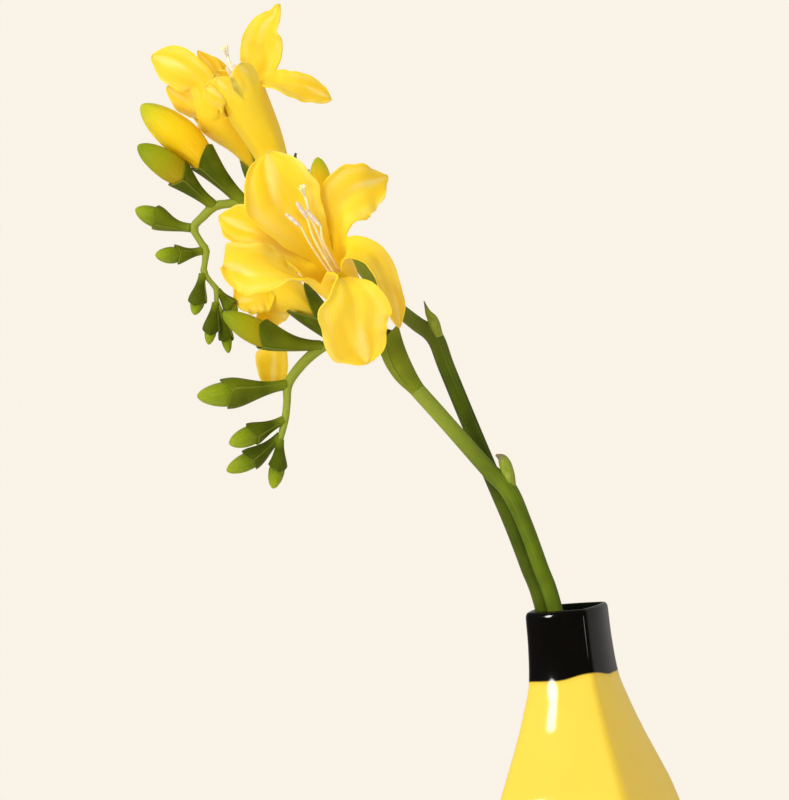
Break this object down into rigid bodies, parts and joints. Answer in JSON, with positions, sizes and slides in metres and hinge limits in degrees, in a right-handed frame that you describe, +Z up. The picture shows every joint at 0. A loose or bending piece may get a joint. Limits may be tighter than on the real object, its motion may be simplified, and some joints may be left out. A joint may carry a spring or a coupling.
{
  "type": "freesia in vase",
  "caption": "Cut freesia with yellow flowers and green buds on two arching stems, standing in a small square glazed bottle vase.",
  "frame": {"origin": "middle of the bottle's base, on the surface that it stands on", "axes": "+Z up; the bottle's four faces look along +X, -X, +Y and -Y; the flowers lean out over -X and a little over -Y"},
  "size_m": [0.1253, 0.0774, 0.2932],
  "materials": {
    "glazed_ceramic_yellow": "glossy glaze",
    "water": "clear",
    "petal_yellow": "soft satin",
    "bud_green": "satin",
    "stem_green": "satin",
    "stem_dark_green": "satin",
    "stamen_cream": "matte"
  },
  "bodies": {
    "root": {"bloom_front_1": "petal_yellow", "bloom_front_2": "petal_yellow", "bloom_rear_1": "petal_yellow", "bloom_rear_2": "petal_yellow", "bud_front_1": "bud_green", "bud_front_2": "bud_green", "bud_front_3": "bud_green", "bud_front_4": "bud_green", "bud_front_5": "bud_green", "bud_rear_1": "bud_green", "bud_rear_2": "bud_green", "bud_rear_3": "bud_green", "bud_rear_4": "bud_green", "bud_rear_5": "bud_green", "bud_rear_6": "bud_green", "bud_rear_7": "bud_green", "bud_rear_8": "bud_green", "bud_rear_9": "bud_green", "stamens_front_1": "stamen_cream", "stamens_front_2": "stamen_cream", "stamens_rear_1": "stamen_cream", "stamens_rear_2": "stamen_cream", "stem_front": "stem_green", "stem_rear": "stem_dark_green", "vase": "glazed_ceramic_yellow", "water": "water"}
  },
  "joints": []
}
